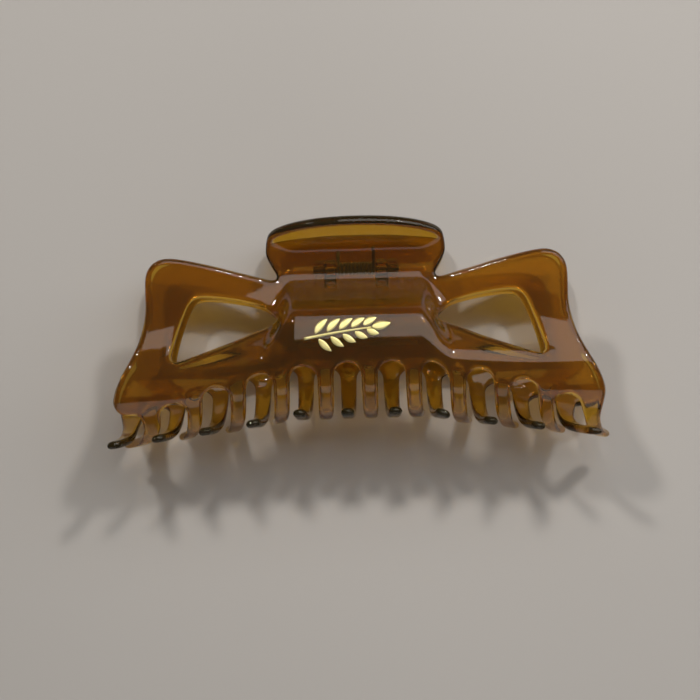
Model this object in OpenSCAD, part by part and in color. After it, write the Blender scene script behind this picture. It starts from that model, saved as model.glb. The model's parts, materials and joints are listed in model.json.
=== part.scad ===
// Large hair claw clip: two toothed shell halves on one sprung hinge pin.
// It lies on its back half, front half up: X along the clip, Y towards the
// handles, Z up, and the table is z = 0.
// Inside, each half is drawn upright: x along the clip, d outwards from the
// hinge plane and h upwards from near the necks.

/* [Shell] */
// wall of each half at the handle and belly
wall_t = 2.8; // [2.2:0.1:3.4]
// wall of the teeth at their tips
tip_t = 2.1; // [1.6:0.1:2.6]
// how far the belly stands out from the hinge plane at mid length
belly_d = 18.1; // [16:0.1:20]
// how far the belly stands out beside the middle block
side_d = 16.9; // [15:0.1:18]
// how far the belly stands out at the wing ends
wing_d = 13.7; // [12:0.1:15]
// half length over which the belly flattens into the wing
wing_x = 60; // [56:0.5:64]
// half width of the handle
handle_x = 23.2; // [20:0.1:25]

/* [Teeth] */
// distance between neighbouring teeth of one half
pitch = 11.4; // [10.5:0.1:12]
// tooth width at its root
tooth_w = 4.4; // [3.8:0.1:4.8]
// tooth width at the bottom bend
tooth_b = 3.8; // [3.2:0.1:4.4]
// outward lean of the teeth, for each millimetre from mid length
fan = 0.1; // [0.05:0.01:0.12]
// height of the gap tops at the middle of the row
root_h = -26.5; // [-29:0.1:-25]
// how much lower the gap tops are at the ends of the row
root_drop = 9.9; // [8:0.1:11]

/* [Hinge] */
// pin radius
pin_r = 1; // [0.8:0.05:1.2]
// pin length
pin_l = 22.7; // [22.2:0.1:23.5]
// clearance of the pin in the moving half
run_gap = 0.06; // [0.02:0.01:0.1]
// clearance of the pin in the half that holds it
hold_gap = 0.01; // [0.01:0.01:0.05]
// lug eye radius
eye_r = 2.9; // [2.5:0.1:3.1]
// thickness of each lug
lug_t = 2.7; // [2.2:0.1:3]
// side gap between neighbouring lugs
lug_gap = 0.15; // [0.1:0.05:0.3]
// half of the space between the inner lugs
coil_room = 5.4; // [5:0.1:6]
// height of the pin against the neck of the shells
pin_h = -1; // [-2:0.1:0]

/* [Spring] */
// wire radius
wire_r = 0.47; // [0.4:0.01:0.5]
// radius of the coil at the wire centre
coil_r = 1.76; // [1.6:0.01:1.9]
// distance between turns
coil_step = 1; // [0.98:0.01:1.05]
// length of the straight legs
leg_l = 8; // [6:0.1:9]
// lean of the legs from upright, along the handles
leg_a = 32.5; // [28:0.5:33]

/* [Emblem] */
// thickness of the foil above the surface
foil_t = 0.15; // [0.1:0.05:0.3]
// middle of the emblem along the clip
foil_x = -2.8; // [-6:0.1:6]
// middle height of the emblem
foil_h = -17.2; // [-19:0.1:-16]

/* [Hidden] */
$fn = 48;
amber = [0.55, 0.3, 0.04];
steel = [0.75, 0.75, 0.77];
gold = [0.95, 0.85, 0.45];
lie_y = 17.45;    // moves the lying clip so that its box is centred
over = 30;        // reach of the cutting prisms past the shell
low = -60;        // height safely below the teeth
bend_h = -47.5;   // height where the teeth are narrowest
row_x = pitch / 4;
foil_sink = 0.1;  // depth of the foil in the plastic

// outer surface on the middle block, from the handle edge to the tooth tip [d, h]
mid_pts = [
    [16.6, 9.8], [11.2, 6.1], [7.9, 1.9], [6.2, -2.2], [7.7, -5.8],
    [12.2, -9.7], [16.7, -13.6], [belly_d, -19.5], [17.9, -26.5], [15.6, -32.8],
    [11, -37], [5.5, -39.8], [0, -40.6], [-5, -40.5], [-9.5, -39.8]];
// beside the middle block
near_pts = [
    [16.6, 9.8], [11.3, 6.1], [8.5, 1.9], [7.5, -2.5], [7.9, -9],
    [9.6, -15.5], [14.2, -20], [side_d - 0.1, -23.7], [side_d, -27.7], [15.2, -33],
    [10.8, -37.1], [5.5, -40], [0, -40.9], [-5, -40.8], [-9.5, -40.1]];
// at the wing ends
end_pts = [
    [13.8, 13], [13.6, 7.5], [13.2, 2], [12.5, -4], [12, -12],
    [12.2, -21], [13.5, -26], [wing_d, -29.2], [13.1, -32], [11.5, -35.2],
    [8.9, -38.8], [5.7, -42], [1.8, -44.6], [-3, -46], [-9, -46.6]];
last = len(mid_pts) - 1;
sub = 2;                  // surface points per control point
rings = last * sub;
block_x = 16;             // half width of the middle block
block_edge = 9;           // width of its rounded side
wing_from = 17;           // where the wing begins to flatten
stations = [-69, -60, -51, -42, -34, -28, -25, -22, -19, -16, -8, 0,
            8, 16, 19, 22, 25, 28, 34, 42, 51, 60, 69];

// control point i at distance x from mid length; the handle edge is bowed
function ease(t) = let (c = max(0, min(1, t))) c * c * (3 - 2 * c);
function beside(x) = ease((abs(x) - block_x) / block_edge);
function outward(x) = min(1.16, pow(max(abs(x) - wing_from, 0) / (wing_x - wing_from), 0.8));
function bow(x) = 0.78 * pow(min(abs(x), 18) / 20, 2);
function ctrl(i, x) =
    let (o = outward(x), s = near_pts[i] + (end_pts[i] - near_pts[i]) * o,
         p = mid_pts[i] + (s - mid_pts[i]) * beside(x))
    i == 0 ? p + (ctrl(1, x) - p) * bow(x) * (1 - ease((abs(x) - 24) / 4)) : p;
// smooth curve through the control points
function curve(i, t, x) =
    let (a = ctrl(max(i - 1, 0), x), b = ctrl(i, x),
         c = ctrl(min(i + 1, last), x), e = ctrl(min(i + 2, last), x))
    0.5 * (2 * b + (c - a) * t + (2 * a - 5 * b + 4 * c - e) * t * t
           + (3 * b - a - 3 * c + e) * t * t * t);
function outer(j, x) = let (i = min(floor(j / sub), last - 1)) curve(i, j / sub - i, x);
function thick(j) = wall_t + (tip_t - wall_t) * max(0, (j / rings - 0.55) / 0.45);
function inward(j, x) =
    let (v = outer(min(j + 1, rings), x) - outer(max(j - 1, 0), x))
    [v[1], -v[0]] / norm(v);
function section(x, j0, j1, lift, sink) = concat(
    [for (j = [j0:j1]) let (p = outer(j, x) - lift * inward(j, x)) [x, -p[0], p[1]]],
    [for (j = [j1:-1:j0]) let (p = outer(j, x) + (sink < 0 ? thick(j) : sink) * inward(j, x))
        [x, -p[0], p[1]]]);

// solid skin between surface points j0 and j1 over the stations xs
module skin_solid(xs, j0, j1, lift, sink) {
    m = 2 * (j1 - j0 + 1);
    n = len(xs);
    polyhedron(
        points = [for (x = xs) each section(x, j0, j1, lift, sink)],
        faces = concat(
            [for (i = [0:n - 2], j = [0:m - 1]) [i * m + j, (i + 1) * m + j, i * m + (j + 1) % m]],
            [for (i = [0:n - 2], j = [0:m - 1])
                [i * m + (j + 1) % m, (i + 1) * m + j, (i + 1) * m + (j + 1) % m]],
            [for (j = [0:j1 - j0 - 1]) [j, j + 1, m - 1 - j]],
            [for (j = [0:j1 - j0 - 1]) [j + 1, m - 2 - j, m - 1 - j]],
            [for (j = [0:j1 - j0 - 1]) let (q = (n - 1) * m) [q + j, q + m - 1 - j, q + j + 1]],
            [for (j = [0:j1 - j0 - 1]) let (q = (n - 1) * m)
                [q + j + 1, q + m - 1 - j, q + m - 2 - j]]));
}

// front view of one half, right side: handle, notch, wing lobe and side
side_pts = [
    [16.8, 22], [18.1, 9.6], [20.6, 6.4], [22.3, 5], [handle_x, 3.4], [23, 2],
    [21.9, 0], [20.8, -2.5], [20.9, -3.4], [22, -3.9], [26, -3.1], [36, -0.6],
    [46, 1.6], [50, 1.8], [52.6, 0.8], [54.4, -1.4], [54.9, -4.3], [55, -11],
    [55.6, -15], [57, -19.5], [61.4, -28], [63.3, -32.5], [64, -35.5]];
// end tooth side, flush with the body
horn_pts = [[64.1, -40], [65.1, -43.5], [67.2, bend_h], [67.2, low]];
// body corner side, rounded short of the first tooth
corner_pts = [[63.3, -37.6], [61.2, -38.9], [57.4, -38.6], [57.2, -40], [59.5, bend_h], [59.5, low]];
window_pts = [
    [20.8, -13.7], [22, -12.3], [24.8, -11], [31, -9.2], [40.2, -8.3], [42.6, -8.8],
    [44, -10.2], [46.6, -16.8], [48.5, -22.9], [48.2, -24.1], [46.9, -24.6],
    [42, -23], [32, -19.4], [22.6, -15.6], [21.2, -14.8]];

function flip(pts) = [for (i = [len(pts) - 1:-1:0]) [-pts[i][0], pts[i][1]]];
function tooth_x(k) = row_x + pitch * k;
function lean(x) = fan * x;
function gap_top(x) = root_h - root_drop * pow(abs(x - row_x) / 51.2, 2.2);

// space between tooth k and tooth k + 1
module tooth_gap(k) {
    w = (pitch - tooth_w) / 2;
    x = tooth_x(k) + pitch / 2;
    h = gap_top(x) - w;
    a = tooth_x(k);
    b = tooth_x(k + 1);
    translate([x, h]) circle(w);
    polygon([[x - w, h], [a + lean(a) + tooth_b / 2, bend_h], [a + lean(a) + tooth_b / 2, low - 1],
        [b + lean(b) - tooth_b / 2, low - 1], [b + lean(b) - tooth_b / 2, bend_h], [x + w, h]]);
}

module front_view() {
    difference() {
        polygon(concat(side_pts, horn_pts, flip(concat(side_pts, corner_pts))));
        polygon(window_pts);
        polygon(flip(window_pts));
        for (k = [-5:4]) tooth_gap(k);
    }
}

// one hinge lug between x0 and x0 + lug_t, drawn in [d, h]
module lug(x0) {
    translate([x0, 0, 0]) rotate([90, 0, 90]) linear_extrude(lug_t) union() {
        translate([0, pin_h]) circle(eye_r);
        polygon([[-0.6, pin_h + 2.83], [-5.2, -0.6], [-5, -3.9], [-8.6, -7.4], [-11.6, -10.6],
            [-9.4, -11], [-5, -7.6], [1.5, pin_h - 2.48]]);
    }
}

// one half with lugs at x0 on both sides of the coil
module half(x0, bore) {
    difference() {
        union() {
            intersection() {
                skin_solid(stations, 0, rings, 0, -1);
                rotate([90, 0, 0]) translate([0, 0, -over]) linear_extrude(2 * over) front_view();
            }
            lug(x0);
            lug(-x0 - lug_t);
        }
        translate([x0 - 1, 0, pin_h]) rotate([0, 90, 0]) cylinder(r = bore, h = lug_t + 2);
        translate([-x0 - lug_t - 1, 0, pin_h]) rotate([0, 90, 0]) cylinder(r = bore, h = lug_t + 2);
    }
}

// lying pose: both the back handle edge and the back belly touch the table
function tilt_at(j) = let (p = outer(0, 0), q = outer(j, 0))
    atan((q[0] - p[0]) / (p[1] - q[1]));
tilt = max([for (j = [6:rings - 6]) tilt_at(j)]);
lie_z = outer(0, 0)[1] * sin(tilt) + outer(0, 0)[0] * cos(tilt);

module lying() {
    translate([0, lie_y, lie_z]) rotate([-90 - tilt, 0, 0]) children();
}

module front_half() {
    color(amber) lying() half(coil_room, pin_r + run_gap);
}

module back_half() {
    color(amber) lying() rotate([0, 0, 180])
        half(coil_room + lug_t + lug_gap, pin_r + hold_gap);
}

module hinge_pin() {
    color(steel) lying() translate([0, 0, pin_h]) rotate([0, 90, 0])
        cylinder(r = pin_r, h = pin_l, center = true);
}

// coil: the leg on the front handle is at +x, the leg on the back handle at -x
seg = 16;
turns = 9 + (180 - 2 * leg_a) / 360;
steps = round(turns * seg);
function coil_ang(i) = -leg_a - 360 * turns * i / steps;
function coil_c(i) = let (a = coil_ang(i))
    [turns * coil_step * (0.5 - i / steps), -coil_r * cos(a), pin_h + coil_r * sin(a)];
function wire(c, a) = [for (k = [0:7]) let (q = 45 * k)
    c + wire_r * [sin(q), -cos(q) * cos(a), cos(q) * sin(a)]];

module torsion_spring() {
    a0 = coil_ang(0);
    a1 = coil_ang(steps);
    out0 = leg_l * [0, -sin(-a0), cos(a0)];
    out1 = leg_l * [0, -sin(a1), -cos(a1)];
    path = concat([wire(coil_c(0) + out0, a0)],
        [for (i = [0:steps]) wire(coil_c(i), coil_ang(i))],
        [wire(coil_c(steps) + out1, a1)]);
    n = len(path);
    color(steel) lying() polyhedron(
        points = [for (r = path) each r],
        faces = concat(
            [for (i = [0:n - 2], k = [0:7]) [i * 8 + k, i * 8 + (k + 1) % 8, (i + 1) * 8 + k]],
            [for (i = [0:n - 2], k = [0:7])
                [i * 8 + (k + 1) % 8, (i + 1) * 8 + (k + 1) % 8, (i + 1) * 8 + k]],
            [for (k = [1:6]) [0, k + 1, k]],
            [for (k = [1:6]) let (q = (n - 1) * 8) [q, q + k, q + k + 1]]));
}

// generic leaf sprig
leaf_pts = [[0, 0], [1.2, 0.85], [2.9, 1], [4.6, 0], [2.9, -0.8], [1.2, -0.75]];
module leaf(x, y, a, s) {
    translate([x, y, 0]) rotate(a) linear_extrude(over) polygon(s * leaf_pts);
}

module sprig() {
    linear_extrude(over) polygon([[-11, -2.5], [-10.6, -3], [-6, -1.75], [0, -0.7],
        [6.2, -0.45], [6.2, 0.2], [0, 0.1], [-6, -0.85]]);
    leaf(5.6, -0.15, 4, 1.15);
    for (i = [0:3]) {
        leaf(-7.6 + 3.4 * i, -1.75 + 0.5 * i, 50 - 4 * i, 0.95);
        leaf(-6.6 + 3.4 * i, -1.45 + 0.42 * i, -50 + 4 * i, 0.85);
    }
}

module emblem() {
    color(gold) lying() intersection() {
        skin_solid([-16, -8, 0, 8, 16], 10, 18, foil_t, foil_sink);
        rotate([90, 0, 0]) translate([foil_x, foil_h, 5]) sprig();
    }
}

front_half();
back_half();
hinge_pin();
torsion_spring();
emblem();
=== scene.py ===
"""Claw clip lying on its back half: smooth shells, spring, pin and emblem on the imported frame."""
import json
import math

import bmesh
import bpy
import numpy as np
from mathutils import Matrix, Vector


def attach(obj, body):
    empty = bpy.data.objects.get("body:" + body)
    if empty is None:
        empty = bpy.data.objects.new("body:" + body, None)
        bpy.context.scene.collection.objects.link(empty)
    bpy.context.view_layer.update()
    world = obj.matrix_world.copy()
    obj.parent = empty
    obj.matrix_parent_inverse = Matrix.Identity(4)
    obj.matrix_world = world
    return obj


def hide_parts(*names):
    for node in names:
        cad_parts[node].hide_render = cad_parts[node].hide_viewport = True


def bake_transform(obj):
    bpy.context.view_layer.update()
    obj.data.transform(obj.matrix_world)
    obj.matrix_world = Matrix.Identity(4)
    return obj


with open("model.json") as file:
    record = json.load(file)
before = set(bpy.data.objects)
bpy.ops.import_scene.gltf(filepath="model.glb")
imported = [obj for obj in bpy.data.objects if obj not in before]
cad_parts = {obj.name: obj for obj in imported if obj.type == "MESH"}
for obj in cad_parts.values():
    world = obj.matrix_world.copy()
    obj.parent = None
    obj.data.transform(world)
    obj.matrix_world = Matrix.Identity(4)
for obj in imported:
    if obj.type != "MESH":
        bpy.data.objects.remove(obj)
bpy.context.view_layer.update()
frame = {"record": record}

MM = 0.001
RECORD = frame["record"]
HINGE = RECORD["behaviour"]["joints"][0]["pos_m"]

# ---------------------------------------------------------------- the clip's own frame
# A half is worked out in millimetres: x along the clip, d outwards from the hinge plane,
# h upwards from near the necks. The hinge pin is at d = 0, h = PIN_H.
PIN_H = -1.0
TILT = math.radians(2.93067)
SIN, COS = math.sin(TILT), math.cos(TILT)
LIE_Y = HINGE[1] / MM - PIN_H * COS
LIE_Z = HINGE[2] / MM + PIN_H * SIN


def to_row(p, back=False):
    """Points (x, d, h) of a half, in millimetres, as row points in metres."""
    p = np.asarray(p, float)
    side = -1.0 if back else 1.0
    x, d, h = p[..., 0] * side, p[..., 1] * side, p[..., 2]
    return np.stack([x, LIE_Y + d * SIN + h * COS, LIE_Z + d * COS - h * SIN], -1) * MM


# ---------------------------------------------------------------- the shell's profile
# outer surface from handle edge to tooth tip (d, h): on the middle block, beside it, at the wing ends
MID = np.array([
    (16.6, 9.8), (11.2, 6.1), (7.9, 1.9), (6.2, -2.2), (7.7, -5.8), (12.2, -9.7), (16.7, -13.6),
    (18.1, -19.5), (17.9, -26.5), (15.6, -32.8), (11, -37), (5.5, -39.8), (0, -40.6), (-5, -40.5),
    (-9.5, -39.8)], float)
NEAR = np.array([
    (16.6, 9.8), (11.3, 6.1), (8.5, 1.9), (7.5, -2.5), (7.9, -9), (9.6, -15.5), (14.2, -20),
    (16.8, -23.7), (16.9, -27.7), (15.2, -33), (10.8, -37.1), (5.5, -40), (0, -40.9), (-5, -40.8),
    (-9.5, -40.1)], float)
END = np.array([
    (13.8, 13), (13.6, 7.5), (13.2, 2), (12.5, -4), (12, -12), (12.2, -21), (13.5, -26),
    (13.7, -29.2), (13.1, -32), (11.5, -35.2), (8.9, -38.8), (5.7, -42), (1.8, -44.6), (-3, -46),
    (-9, -46.6)], float)
BLOCK_X, BLOCK_EDGE = 16.0, 9.0
WING_FROM, WING_X = 17.0, 60.0
WALL, TIP_WALL = 2.8, 2.1
LAST = len(MID) - 1


def spline(points):
    """Coefficients of the smooth curve through the points, one row per span: a, b, c, d."""
    n = len(points)
    m = np.zeros((n, n))
    r = np.zeros((n, 2))
    m[0, 0] = m[-1, -1] = 1
    for i in range(1, n - 1):
        m[i, i - 1:i + 2] = 1, 4, 1
        r[i] = 6 * (points[i + 1] - 2 * points[i] + points[i - 1])
    k = np.linalg.solve(m, r)
    a = points[:-1]
    b = points[1:] - points[:-1] - (2 * k[:-1] + k[1:]) / 6
    return np.stack([a, b, k[:-1] / 2, (k[1:] - k[:-1]) / 6], 1)


CURVES = [spline(p) for p in (MID, NEAR, END)]


def on_curve(coef, u):
    """Point, slope and bend of a curve at u, straight beyond its ends."""
    i = np.clip(np.floor(u).astype(int), 0, LAST - 1)
    t = np.clip(u - i, 0, 1)[..., None]
    over = (u - i)[..., None] - t
    a, b, c, e = (coef[i, j] for j in range(4))
    p = a + t * (b + t * (c + t * e))
    v = b + t * (2 * c + 3 * t * e)
    w = np.where(over == 0, 2 * c + 6 * t * e, 0)
    return np.stack([p + over * v, v, w])


def smooth(t):
    t = np.clip(t, 0, 1)
    return t * t * (3 - 2 * t)


def shares(x):
    """How much of the three curves the surface takes at distance x, in the last axis."""
    beside = smooth((np.abs(x) - BLOCK_X) / BLOCK_EDGE)
    out = np.minimum((np.maximum(np.abs(x) - WING_FROM, 0) / (WING_X - WING_FROM)) ** 0.8, 1.16)
    return np.stack([1 - beside, beside * (1 - out), beside * out], -1)


def blended(u, share):
    return sum(on_curve(c, u) * share[..., k, None] for k, c in enumerate(CURVES))


FINE = np.linspace(0, LAST, LAST * 40 + 1)


def lengths(coef):
    p = on_curve(coef, FINE)[0]
    return np.concatenate([[0], np.cumsum(np.hypot(*(p[1:] - p[:-1]).T))])


LENGTHS = [lengths(c) for c in CURVES]


def length_at(u, share):
    """How far along the profile u is, in millimetres."""
    inside = sum(np.interp(u, FINE, l) * share[..., k] for k, l in enumerate(LENGTHS))
    return inside + np.where(u < 0, u * 5, 0) + np.where(u > LAST, (u - LAST) * 5, 0)


def full_length(share):
    return sum(l[-1] * share[..., k] for k, l in enumerate(LENGTHS))


def u_at_height(x, h):
    """Where the outer surface passes height h above the bottom bend, at distance x."""
    share = shares(np.array(float(x)))
    c = sum(on_curve(c, FINE)[0][:, 1] * share[k] for k, c in enumerate(CURVES))
    k = int(np.argmin(c))
    if h > c[0]:
        return (c[0] - h) / 5
    return float(np.interp(-h, -c[:k + 1], FINE[:k + 1]))


def s_at_height(x, h):
    return float(length_at(np.array(u_at_height(x, h)), shares(np.array(float(x)))))


def foot(x, d, h):
    """Nearest point of the outer surface in the cross-section: u, signed distance out, shares."""
    share = shares(x)
    # a coarse search first, then a few Newton steps
    u_try = np.linspace(0, LAST, LAST * 6 + 1)
    tries = [on_curve(c, u_try)[0] for c in CURVES]
    u = np.empty(len(x))
    for lo in range(0, len(x), 50000):
        k = slice(lo, lo + 50000)
        dd = share[k] @ np.stack([p[:, 0] for p in tries]) - d[k, None]
        hh = share[k] @ np.stack([p[:, 1] for p in tries]) - h[k, None]
        u[k] = u_try[np.argmin(dd * dd + hh * hh, 1)]
    q = np.stack([d, h], 1)
    for _ in range(4):
        p, v, k = blended(u, share)
        off = p - q
        u = u - np.clip((off * v).sum(1) / np.maximum((v * v).sum(1) + (off * k).sum(1), 4), -0.5, 0.5)
    p, v, _ = blended(u, share)
    v = v / np.hypot(v[:, 0], v[:, 1])[:, None]
    off = q - p
    n = -off[:, 0] * v[:, 1] + off[:, 1] * v[:, 0]
    return u, n, share


# ---------------------------------------------------------------- outline, windows and teeth
# The sheet is laid out flat: x along the clip, s along the profile from the handle edge.
PITCH = 11.4
ROW_X = PITCH / 4
TOOTH_W, TOOTH_B = 4.4, 3.5
FAN, FAN_BEND = 0.1, 2.6
HORN_X, HORN_W, HORN_ROOT, HORN_OUT = 60.5, 4.3, 2.3, 4.4
HORN_ROOT_H, HORN_TIP_X = -36.4, 62.0
CLAW_OUT = 8.4  # how far the tip of the tooth at the other end leans out
GAP_H, GAP_DROP, ROW_HALF = -26.5, 9.9, 51.2
TEETH = range(-5, 6)
# rim of the handle (x, s), then heights (x, h) down the side, round the corner and about the window
RIM = [(0, 0.1), (6, 0.35), (11, 1.0), (16, 2.3), (19.5, 3.8), (21.7, 5.2), (22.9, 6.9)]
SIDE = [
    (23.4, 2.9), (22.9, 0.9), (21.8, -1.0), (20.9, -2.4), (20.75, -3.2), (21.3, -3.8),
    (22.6, -3.9), (26, -3.1), (31, -1.9), (36, -0.6), (41, 0.6), (46, 1.6), (49, 1.9),
    (51.3, 1.5), (53.2, 0.3), (54.5, -1.8), (54.95, -4.8), (55, -11), (55.6, -15), (57, -19.5),
    (59.2, -23.8), (61.4, -28), (63.1, -32), (64, -35.5)]
CORNER = [(63.4, -37.5), (61.9, -38.8), (59.8, -39.2), (58.2, -39.1), (57.2, -39.7)]
WINDOW = [
    (20.9, -13.8), (21.8, -12.6), (24.2, -11.2), (28, -10), (33, -9), (37, -8.5), (40.2, -8.3),
    (42.4, -8.8), (43.8, -10.2), (45.1, -13), (46.6, -16.8), (47.7, -20), (48.5, -22.8),
    (48.2, -24.1), (46.9, -24.6), (42, -23), (37, -21.2), (32, -19.4), (27, -17.3), (22.8, -15.6),
    (21.3, -14.9)]


def gap_top(x):
    return GAP_H - GAP_DROP * (abs(x - ROW_X) / ROW_HALF) ** 2.2


def tip_s(x):
    return full_length(shares(np.array(float(x))))


def tooth_x(k):
    return ROW_X + PITCH * k


def tooth_at(k, tau):
    """Middle and width of tooth k, tau of the way from its root to its tip."""
    x = tooth_x(k)
    tau = np.maximum(tau, 0)
    if k == 5:
        return HORN_X + HORN_OUT * tau ** 2.8, HORN_W + HORN_ROOT * (1 - smooth(tau / 0.4)) - 0.5 * tau
    if k == -5:
        return x - CLAW_OUT * tau ** 3.2, TOOTH_W + 0.4 * tau
    return x + FAN * x * tau ** FAN_BEND, TOOTH_W + (TOOTH_B - TOOTH_W) * tau


def smooth_loop(points, steps=3):
    """A closed Catmull-Rom curve through the points."""
    p = np.array(points, float)
    a, b, c, e = np.roll(p, 1, 0), p, np.roll(p, -1, 0), np.roll(p, -2, 0)
    out = []
    for t in np.arange(steps) / steps:
        out.append(0.5 * (2 * b + (c - a) * t + (2 * a - 5 * b + 4 * c - e) * t * t
                          + (3 * b - a - 3 * c + e) * t ** 3))
    return np.stack(out, 1).reshape(-1, 2)


def loop_distance(x, y, loop):
    """Signed distance to a closed polygon, negative inside."""
    best = np.full(x.shape, 1e9)
    inside = np.zeros(x.shape, bool)
    for (ax, ay), (bx, by) in zip(loop, np.roll(loop, -1, 0)):
        ex, ey = bx - ax, by - ay
        px, py = x - ax, y - ay
        t = np.clip((px * ex + py * ey) / max(ex * ex + ey * ey, 1e-9), 0, 1)
        best = np.minimum(best, (px - t * ex) ** 2 + (py - t * ey) ** 2)
        if ay != by:
            inside ^= ((ay > y) != (by > y)) & (px < ex * py / ey)
    return np.where(inside, -1, 1) * np.sqrt(best)


def outline():
    side = [(x, s_at_height(x, h)) for x, h in SIDE]
    root = s_at_height(HORN_X, HORN_ROOT_H)
    full = float(tip_s(HORN_TIP_X))
    horn = []
    for tau in (0.1, 0.2, 0.3, 0.4, 0.5, 0.6, 0.7, 0.8, 0.9, 1.0, 1.15, 1.4):
        c, w = tooth_at(5, tau)
        horn.append((c + w / 2, root + tau * (full - root)))
    corner = [(-x, s_at_height(x, h)) for x, h in CORNER]
    first = []
    x = tooth_x(-5)
    root, full = s_at_height(x, gap_top(x)), float(tip_s(x))
    for tau in (0.25, 0.4, 0.55, 0.7, 0.85, 1.0, 1.15, 1.4):
        c, w = tooth_at(-5, tau)
        first.append((c - w / 2, root + tau * (full - root)))
    left = [(-x, s) for x, s in reversed(RIM[1:] + side)]
    return smooth_loop(RIM + side + horn + first[::-1] + corner[::-1] + left)


STEP_2D = 0.3
GX = np.arange(-74, 74.01, STEP_2D)
GS = np.arange(-6, 84, STEP_2D)


def lay_out():
    """Signed distance of the flat sheet over the x, s grid, without the rounding at the tips."""
    x, s = np.meshgrid(GX, GS, indexing="ij")
    mask = loop_distance(x, s, outline())
    hole = smooth_loop([(x0, s_at_height(x0, h0)) for x0, h0 in WINDOW])
    window = loop_distance(np.abs(x), s, hole)
    mask = np.maximum(mask, -window)
    for k in list(TEETH)[:-1]:
        xg = tooth_x(k) + PITCH / 2
        top, full = s_at_height(xg, gap_top(xg)), float(tip_s(xg))
        tau = (s - top) / (full - top)
        (c0, w0), (c1, w1) = tooth_at(k, tau), tooth_at(k + 1, tau)
        lo, hi = c0 + w0 / 2, c1 - w1 / 2
        r = float((tooth_x(k + 1) - tooth_x(k) - TOOTH_W) / 2)
        down = s - (top + r)
        slot = np.where(down < 0, np.hypot(x - (lo + hi) / 2, down) - r, np.maximum(lo - x, x - hi))
        mask = np.maximum(mask, -slot)
    return mask


SHEET = lay_out()


def cubic(t):
    return np.stack([((-0.5 * t + 1) * t - 0.5) * t, (1.5 * t - 2.5) * t * t + 1,
                     ((-1.5 * t + 2) * t + 0.5) * t, (0.5 * t - 0.5) * t * t], -1)


def sheet_at(x, s):
    """The sheet's distance at any x, s, smoothly interpolated."""
    fx = np.clip((x - GX[0]) / STEP_2D, 1, len(GX) - 3.001)
    fs = np.clip((s - GS[0]) / STEP_2D, 1, len(GS) - 3.001)
    ix, js = fx.astype(int), fs.astype(int)
    wx, ws = cubic(fx - ix), cubic(fs - js)
    out = 0
    for a in range(4):
        for b in range(4):
            out = out + wx[:, a] * ws[:, b] * SHEET[ix + a - 1, js + b - 1]
    return out


def meet(a, b, r):
    """Overlap of two shapes with its edge rounded to radius r."""
    a, b = a + r, b + r
    return np.minimum(np.maximum(a, b), 0) + np.hypot(np.maximum(a, 0), np.maximum(b, 0)) - r


def join(a, b, r):
    """Union of two shapes with a fillet of radius r."""
    t = np.maximum(r - np.abs(a - b), 0)
    return np.minimum(a, b) - t * t / (4 * r)


EDGE_R, END_R = 1.15, 1.6
MARK_TEETH = (-4, -2, 0, 2, 4)
MARK_R, MARK_DEPTH, MARK_BELOW = 1.25, 0.35, 0.9


def thickness(u):
    return WALL + (TIP_WALL - WALL) * np.clip((u / LAST - 0.55) / 0.45, 0, 1)


def shell_field(x, d, h):
    u, n, share = foot(x, d, h)
    s = length_at(u, share)
    t = thickness(u)
    end = s - full_length(share)
    flat = meet(sheet_at(x, s), end, END_R)
    shell = meet(np.abs(n + t / 2) - t / 2, flat, EDGE_R)
    for x0, s0 in MARKS:  # round marks of the mould's ejector pins, inside every second root
        mark = meet(np.hypot(x - x0, s - s0) - MARK_R, n + t - MARK_DEPTH, 0.12)
        shell = np.maximum(shell, -mark)
    return shell


MARKS = [(x, s_at_height(x, gap_top(x)) + MARK_BELOW) for x in map(tooth_x, MARK_TEETH)]

# ---------------------------------------------------------------- hinge lugs
LUG_T, LUG_GAP, COIL_ROOM, EYE_R = 2.7, 0.15, 5.4, 2.9
LUG = [
    (0.6, PIN_H + 2.83), (5.2, -0.6), (5, -3.9), (8.6, -7.4), (11.6, -10.6), (9.4, -11),
    (5, -7.6), (-1.5, PIN_H - 2.48)]


def lug_field(x, d, h, x0, bore):
    flat = np.minimum(loop_distance(d, h, np.array(LUG)), np.hypot(d, h - PIN_H) - EYE_R)
    flat = meet(flat, np.abs(np.abs(x) - x0 - LUG_T / 2) - LUG_T / 2, 0.35)
    return np.maximum(flat, bore - np.hypot(d, h - PIN_H))


def half_field(p, back):
    x, d, h = p[:, 0], p[:, 1], p[:, 2]
    shell = shell_field(x, d, h)
    near = (np.abs(x) < 13.5) & (d < 14) & (h > -14) & (h < 5)
    x0, bore = (COIL_ROOM + LUG_T + LUG_GAP, 1.01) if back else (COIL_ROOM, 1.06)
    lug = lug_field(x[near], d[near], h[near], x0, bore)
    shell[near] = join(shell[near], lug, 0.7)
    shell[near] = np.maximum(shell[near], np.where(
        np.abs(x[near]) < x0 + LUG_T + 1, bore - np.hypot(d[near], h[near] - PIN_H), -9))
    return shell


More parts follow.
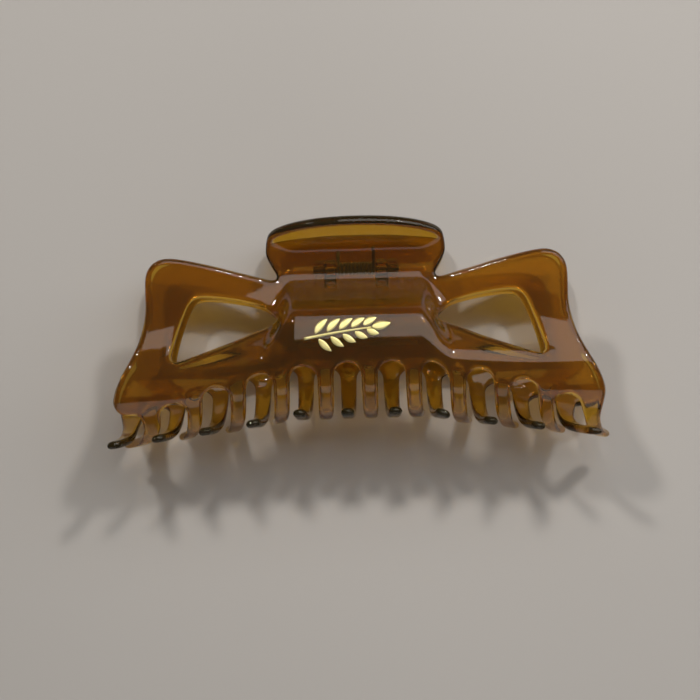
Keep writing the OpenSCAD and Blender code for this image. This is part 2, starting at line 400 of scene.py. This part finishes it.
# ---------------------------------------------------------------- surfaces from a field
def skin(field, low, high, step):
    """Quads around field < 0, with their corners moved onto the surface itself."""
    block = 8
    n = [int(math.ceil((b - a) / step / block)) * block for a, b in zip(low, high)]
    low = np.array(low, float)
    grid = np.full([i + 1 for i in n], 9.0, np.float32)
    centres = np.stack(np.meshgrid(*[np.arange(i // block) for i in n], indexing="ij"), -1).reshape(-1, 3)
    value = field(low + (centres + 0.5) * block * step)
    reach = block * step * 0.87 + 0.6
    keep = centres[np.abs(value) < reach]
    for i, j, k in centres[(value < 0) & (np.abs(value) >= reach)] * block:
        grid[i:i + block + 1, j:j + block + 1, k:k + block + 1] = -9
    local = np.stack(np.meshgrid(*[np.arange(block + 1)] * 3, indexing="ij"), -1).reshape(-1, 3)
    flag = np.zeros(grid.shape, bool)
    for c in keep:
        i, j, k = c * block
        flag[i:i + block + 1, j:j + block + 1, k:k + block + 1] = True
    nodes = np.argwhere(flag)
    grid[flag] = field(low + nodes * step)
    inside = grid < 0
    count = sum(inside[a:n[0] + a, b:n[1] + b, c:n[2] + c].astype(np.int8)
                for a in (0, 1) for b in (0, 1) for c in (0, 1))
    cells = np.argwhere((count > 0) & (count < 8))
    number = np.full(count.shape, -1, np.int64)
    number[tuple(cells.T)] = np.arange(len(cells))
    total, hits = np.zeros((len(cells), 3)), np.zeros(len(cells))
    corner = {(a, b, c): grid[cells[:, 0] + a, cells[:, 1] + b, cells[:, 2] + c]
              for a in (0, 1) for b in (0, 1) for c in (0, 1)}
    for axis in range(3):
        others = [i for i in range(3) if i != axis]
        for a in (0, 1):
            for b in (0, 1):
                k0 = [0, 0, 0]
                k0[others[0]], k0[others[1]] = a, b
                k1 = list(k0)
                k1[axis] = 1
                f0, f1 = corner[tuple(k0)], corner[tuple(k1)]
                cross = (f0 < 0) != (f1 < 0)
                t = np.where(cross, f0 / np.where(cross, f0 - f1, 1), 0)
                at = np.tile(np.array(k0, float), (len(cells), 1))
                at[:, axis] += t
                total += at * cross[:, None]
                hits += cross
    verts = low + (cells + total / hits[:, None]) * step
    faces = []
    for axis in range(3):
        a = np.take(inside, range(n[axis]), axis)
        b = np.take(inside, range(1, n[axis] + 1), axis)
        where = np.argwhere(a != b)
        o1, o2 = [(1, 2), (2, 0), (0, 1)][axis]
        at1, at2 = where[:, o1], where[:, o2]
        where = where[(at1 > 0) & (at2 > 0) & (at1 < n[o1]) & (at2 < n[o2])]
        sign = a[tuple(where.T)]
        quad = []
        for da, db in ((-1, -1), (0, -1), (0, 0), (-1, 0)):
            c = where.copy()
            c[:, o1] += da
            c[:, o2] += db
            quad.append(number[tuple(c.T)])
        quad = np.stack(quad, 1)
        quad[~sign] = quad[~sign][:, ::-1]
        faces.append(quad)
    faces = np.concatenate(faces)
    eps = 0.03
    for _ in range(2):
        f0 = field(verts)
        g = np.stack([field(verts + eps * e) - f0 for e in np.eye(3)], 1) / eps
        g2 = np.maximum((g * g).sum(1), 0.25)
        verts = verts - np.clip(f0 / g2, -0.3, 0.3)[:, None] * g
    return verts, faces


# ---------------------------------------------------------------- pieces
def piece(name, verts, faces, body, material, replaces):
    mesh = bpy.data.meshes.new(name)
    mesh.from_pydata([tuple(v) for v in verts], [], [tuple(f) for f in faces])
    mesh.validate()
    for p in mesh.polygons:
        p.use_smooth = True
    mesh.materials.append(material)
    obj = bpy.data.objects.new(name, mesh)
    bpy.context.collection.objects.link(obj)
    if body:
        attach(obj, body)
    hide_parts(replaces)
    return obj


BOX_LOW, BOX_HIGH = (-69, -12, -50), (70, 20, 17)


def half(name, back, step):
    verts, faces = skin(lambda p: half_field(p, back), BOX_LOW, BOX_HIGH, step)
    return piece(name, to_row(verts, back), faces[:, ::-1], "back" if back else "front",
                 amber(), "back_half" if back else "front_half")


def tube(centres, frames, radius, sides=12):
    """Swept wire with flat ends; frames are two unit vectors across it at each centre."""
    ang = 2 * np.pi * np.arange(sides) / sides
    a, b = frames
    ring = a[:, None] * np.cos(ang)[None, :, None] + b[:, None] * np.sin(ang)[None, :, None]
    verts = (centres[:, None] + radius * ring).reshape(-1, 3)
    faces = []
    for i in range(len(centres) - 1):
        for k in range(sides):
            j = (k + 1) % sides
            faces.append((i * sides + k, i * sides + j, (i + 1) * sides + j, (i + 1) * sides + k))
    faces.append(tuple(range(sides))[::-1])
    faces.append(tuple(range((len(centres) - 1) * sides, len(centres) * sides)))
    return verts, faces


# ---------------------------------------------------------------- spring and pin
WIRE_R, COIL_R, COIL_STEP, LEG_L, LEG_A = 0.47, 1.76, 1.0, 8.0, 32.5
TURNS = 9 + (180 - 2 * LEG_A) / 360
PIN_R, PIN_L = 1.0, 22.7


def torsion_spring():
    steps = round(TURNS * 32)
    i = np.arange(steps + 1)
    a = np.radians(-LEG_A - 360 * TURNS * i / steps)
    coil = np.stack([
        TURNS * COIL_STEP * (0.5 - i / steps), COIL_R * np.cos(a), PIN_H + COIL_R * np.sin(a)], 1)
    leg = np.linspace(LEG_L, 0.4, 5)[:, None]
    first = coil[0] + leg * np.array([0, math.sin(-a[0]), math.cos(a[0])])
    last = coil[-1] + leg[::-1] * np.array([0, math.sin(a[-1]), -math.cos(a[-1])])
    centres = np.concatenate([first, coil, last])
    turn = np.concatenate([np.full(5, a[0]), a, np.full(5, a[-1])])
    out = np.stack([np.zeros(len(turn)), np.cos(turn), np.sin(turn)], 1)
    along = np.tile([1.0, 0, 0], (len(turn), 1))
    verts, faces = tube(centres, (along, out), WIRE_R)
    spring = piece("spring_wire", to_row(verts), faces, None,
                   steel("spring_steel", 0.24, 60), "torsion_spring")
    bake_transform(spring)
    return spring


def hinge_pin():
    half_l = PIN_L / 2
    profile = [(-half_l, 0.0), (-half_l, 0.5), (-half_l + 0.03, 0.72), (-half_l + 0.12, 0.9),
               (-half_l + 0.3, PIN_R)]
    profile += [(x, PIN_R) for x in np.linspace(-half_l + 1.3, half_l - 1.3, 12)]
    profile += [(-x, r) for x, r in profile[4::-1]]
    ang = 2 * np.pi * np.arange(40) / 40
    verts = [(x, r * math.cos(t), PIN_H + r * math.sin(t)) for x, r in profile for t in ang]
    n = len(ang)
    faces = [(i * n + k, (i + 1) * n + k, (i + 1) * n + (k + 1) % n, i * n + (k + 1) % n)
             for i in range(len(profile) - 1) for k in range(n)]
    mesh_verts = to_row(verts)
    pin = piece("pin_rod", mesh_verts, faces, "back", steel("pin_steel", 0.2, 25), "hinge_pin")
    bm = bmesh.new()
    bm.from_mesh(pin.data)
    bmesh.ops.remove_doubles(bm, verts=bm.verts, dist=1e-6)
    bmesh.ops.recalc_face_normals(bm, faces=bm.faces)
    bm.to_mesh(pin.data)
    bm.free()
    return pin


# ---------------------------------------------------------------- foil emblem
FOIL_X, FOIL_H = -2.8, -17.2


def on_shell(x, h, lift):
    """Point above the outer surface where it passes x and height h."""
    share = shares(np.array([float(x)]))
    p, v, _ = blended(np.array([u_at_height(x, h)]), share)
    v = v[0] / np.hypot(*v[0])
    return x, p[0, 0] - v[1] * lift, p[0, 1] + v[0] * lift


def foil_strip(line, widths, verts, faces, across=4, thick=0.05):
    """Thin closed patch on the shell along a line of x, h points, with its own width at each."""
    line = np.array(line, float)
    along = np.gradient(line, axis=0)
    along /= np.hypot(along[:, 0], along[:, 1])[:, None]
    side = np.stack([-along[:, 1], along[:, 0]], 1)
    start, n, m = len(verts), len(line), across + 1
    for lift in (thick, -0.04):
        for p, q, w in zip(line, side, widths):
            for t in np.linspace(-0.5, 0.5, m):
                x, h = p + q * w * t
                crown = 0.03 * (1 - 4 * t * t) if lift > 0 else 0
                verts.append(on_shell(FOIL_X + x, FOIL_H + h, lift + crown))
    top, low = start, start + n * m
    for i in range(n - 1):
        for j in range(across):
            a = i * m + j
            faces.append((top + a, top + a + 1, top + a + m + 1, top + a + m))
            faces.append((low + a + m, low + a + m + 1, low + a + 1, low + a))
    rim = [j for j in range(m)] + [i * m + across for i in range(1, n)]
    rim += [(n - 1) * m + j for j in range(across - 1, -1, -1)] + [i * m for i in range(n - 2, 0, -1)]
    for a, b in zip(rim, rim[1:] + rim[:1]):
        faces.append((top + b, top + a, low + a, low + b))


def leaf(x, h, angle, length, width, bend, verts, faces):
    t = np.linspace(0, 1, 13)
    a = math.radians(angle)
    turn = a + np.radians(bend) * t
    step = length / 12
    line = np.stack([x + np.cumsum(np.cos(turn)) * step, h + np.cumsum(np.sin(turn)) * step], 1)
    body = np.sin(np.pi * np.clip(t, 0.02, 0.985) ** 0.85) ** 0.8 * width
    foil_strip(line, np.maximum(body, 0.12), verts, faces)


def emblem():
    verts, faces = [], []
    t = np.linspace(0, 1, 22)
    stem = np.stack([-11 + 17.4 * t, -2.9 + 3.3 * t - 0.75 * t * t], 1)
    foil_strip(stem, 0.75 - 0.3 * t, verts, faces, across=2)
    leaf(6.1, -0.25, 4, 5.0, 2.2, 12, verts, faces)
    for i in range(5):
        x = -8.3 + 3.1 * i
        h = -2.35 + 0.5 * i
        leaf(x, h + 0.35, 62 - 5 * i, 5.0 - 0.25 * i, 1.9, -24, verts, faces)
        leaf(x + 0.9, h - 0.35, -58 + 6 * i, 4.6 - 0.3 * i, 1.75, 24, verts, faces)
    return piece("foil_sprig", to_row(verts), faces, "front", foil(), "emblem")


# ---------------------------------------------------------------- materials
def new_material(name):
    mat = bpy.data.materials.new(name)
    mat.use_nodes = True
    nodes, links = mat.node_tree.nodes, mat.node_tree.links
    nodes.clear()
    out = nodes.new("ShaderNodeOutputMaterial")
    shader = nodes.new("ShaderNodeBsdfPrincipled")
    links.new(shader.outputs["BSDF"], out.inputs["Surface"])
    return mat, nodes, links, shader, out


def noise(nodes, links, scale, detail=2.0, stretch=(1, 1, 1)):
    where = nodes.new("ShaderNodeTexCoord")
    place = nodes.new("ShaderNodeMapping")
    place.inputs["Scale"].default_value = stretch
    tex = nodes.new("ShaderNodeTexNoise")
    tex.inputs["Scale"].default_value = scale
    tex.inputs["Detail"].default_value = detail
    links.new(where.outputs["Object"], place.inputs["Vector"])
    links.new(place.outputs["Vector"], tex.inputs["Vector"])
    return tex


def ramp(nodes, links, source, stops):
    r = nodes.new("ShaderNodeValToRGB")
    links.new(source, r.inputs["Fac"])
    for i, (at, colour) in enumerate(stops):
        e = r.color_ramp.elements[i] if i < 2 else r.color_ramp.elements.new(at)
        e.position, e.color = at, (*colour, 1)
    return r.outputs["Color"]


def spread(nodes, links, source, low, high):
    r = nodes.new("ShaderNodeMapRange")
    r.inputs["From Min"].default_value, r.inputs["From Max"].default_value = 0.3, 0.7
    r.inputs["To Min"].default_value, r.inputs["To Max"].default_value = low, high
    links.new(source, r.inputs["Value"])
    return r.outputs["Result"]


def ripple(nodes, links, shader, source, distance, strength):
    bump = nodes.new("ShaderNodeBump")
    bump.inputs["Strength"].default_value = strength
    bump.inputs["Distance"].default_value = distance
    links.new(source, bump.inputs["Height"])
    links.new(bump.outputs["Normal"], shader.inputs["Normal"])


MADE = {}
# what the plastic takes out of light on its way through
DEPTH_COLOUR = (0.78, 0.63, 0.0)
DEPTH_PER_M = 570


def amber():
    if "amber" in MADE:
        return MADE["amber"]
    mat, nodes, links, shader, out = new_material("amber_plastic")
    cloud = noise(nodes, links, 45, 3)
    tints = [(0.3, (0.94, 0.69, 0.18)), (0.7, (0.91, 0.65, 0.16))]
    links.new(ramp(nodes, links, cloud.outputs["Fac"], tints), shader.inputs["Base Color"])
    fine = noise(nodes, links, 900, 4)
    links.new(spread(nodes, links, fine.outputs["Fac"], 0.02, 0.07), shader.inputs["Roughness"])
    flow = noise(nodes, links, 130, 1, (1, 0.5, 0.5))
    ripple(nodes, links, shader, flow.outputs["Fac"], 0.0002, 0.35)
    shader.inputs["Transmission Weight"].default_value = 0.98
    shader.inputs["IOR"].default_value = 1.5
    depth = nodes.new("ShaderNodeVolumeAbsorption")
    depth.inputs["Color"].default_value = (*DEPTH_COLOUR, 1)
    depth.inputs["Density"].default_value = DEPTH_PER_M
    links.new(depth.outputs["Volume"], out.inputs["Volume"])
    MADE["amber"] = mat
    return mat


def steel(name, rough, scale):
    mat, nodes, links, shader, _ = new_material(name)
    drawn = noise(nodes, links, scale * 20, 3, (1, 6, 6))
    tints = [(0.3, (0.1, 0.085, 0.07)), (0.7, (0.22, 0.19, 0.16))]
    links.new(ramp(nodes, links, drawn.outputs["Fac"], tints), shader.inputs["Base Color"])
    links.new(spread(nodes, links, drawn.outputs["Fac"], rough, rough + 0.12), shader.inputs["Roughness"])
    ripple(nodes, links, shader, drawn.outputs["Fac"], 0.00005, 0.3)
    shader.inputs["Metallic"].default_value = 1.0
    return mat


def foil():
    mat, nodes, links, shader, _ = new_material("gold_foil")
    worn = noise(nodes, links, 700, 3)
    links.new(ramp(nodes, links, worn.outputs["Fac"], [(0.3, (0.93, 0.8, 0.3)), (0.7, (1.0, 0.9, 0.42))]),
              shader.inputs["Base Color"])
    links.new(spread(nodes, links, worn.outputs["Fac"], 0.3, 0.45), shader.inputs["Roughness"])
    shader.inputs["Metallic"].default_value = 0.55
    return mat


# ---------------------------------------------------------------- floor, light and camera
def floor():
    size = 1.6
    mesh = bpy.data.meshes.new("table")
    bm = bmesh.new()
    bmesh.ops.create_grid(bm, x_segments=8, y_segments=8, size=size / 2)
    bm.to_mesh(mesh)
    bm.free()
    table = bpy.data.objects.new("table", mesh)
    bpy.context.collection.objects.link(table)
    mat, nodes, links, shader, _ = new_material("pale_table")
    soft = noise(nodes, links, 3, 2)
    tints = [(0.3, (0.53, 0.51, 0.49)), (0.7, (0.57, 0.55, 0.53))]
    links.new(ramp(nodes, links, soft.outputs["Fac"], tints), shader.inputs["Base Color"])
    shader.inputs["Roughness"].default_value = 0.45
    mesh.materials.append(mat)
    return table


def area(name, place, target, size, power, colour=(1, 1, 1)):
    light = bpy.data.lights.new(name, "AREA")
    light.shape = "RECTANGLE"
    light.size, light.size_y = size
    light.energy = power
    light.color = colour
    obj = bpy.data.objects.new(name, light)
    bpy.context.collection.objects.link(obj)
    obj.location = place
    away = Vector(place) - Vector(target)
    obj.rotation_euler = away.to_track_quat("Z", "Y").to_euler()
    return obj


def lights():
    area("soft_wall", (0.61, 0.429, 0.66), (0.61, 0.0, 0.0), (1.4, 0.64), 4.9, (1.0, 0.97, 0.94))
    area("soft_fill", (0, -1.0, 0.4), (0, 0, 0), (1.3, 0.4), 1.3, (1.0, 0.97, 0.93))
    for side, x in (("left", -0.5), ("right", 0.5)):
        area("lamp_" + side, (x, 0.88, 1.0), (0, 0, 0), (0.12, 0.12), 5.3, (1.0, 0.95, 0.88))
    world = bpy.data.worlds.new("room")
    bpy.context.scene.world = world
    world.use_nodes = True
    world.node_tree.nodes["Background"].inputs["Color"].default_value = (1.0, 0.97, 0.93, 1)
    world.node_tree.nodes["Background"].inputs["Strength"].default_value = 0.06


LENS_MM = 155.43257
CAMERA_AT = (0.003246, -0.00048, 0.8139)
CAMERA_TURN = (0.325, -0.389, 1.570)  # degrees about x, y and z


def camera():
    cam = bpy.data.cameras.new("photo_view")
    cam.sensor_width = 36
    cam.lens = LENS_MM
    cam.clip_start, cam.clip_end = 0.01, 10
    obj = bpy.data.objects.new("photo_view", cam)
    bpy.context.collection.objects.link(obj)
    rx, ry, rz = (math.radians(a) for a in CAMERA_TURN)
    turn = Matrix.Rotation(rz, 3, "Z") @ Matrix.Rotation(ry, 3, "Y") @ Matrix.Rotation(rx, 3, "X")
    obj.matrix_world = Matrix.Translation(CAMERA_AT) @ turn.transposed().to_4x4()
    bpy.context.scene.camera = obj
    return obj


LIGHT_BOUNCES = 20  # enough to see through both halves along the teeth


def build():
    step = 0.42
    half("front_shell", False, step)
    half("back_shell", True, step)
    torsion_spring()
    hinge_pin()
    emblem()
    floor()
    lights()
    camera()
    scene = bpy.context.scene
    scene.view_settings.view_transform = "Standard"
    scene.cycles.max_bounces = LIGHT_BOUNCES
    scene.cycles.transmission_bounces = LIGHT_BOUNCES


build()
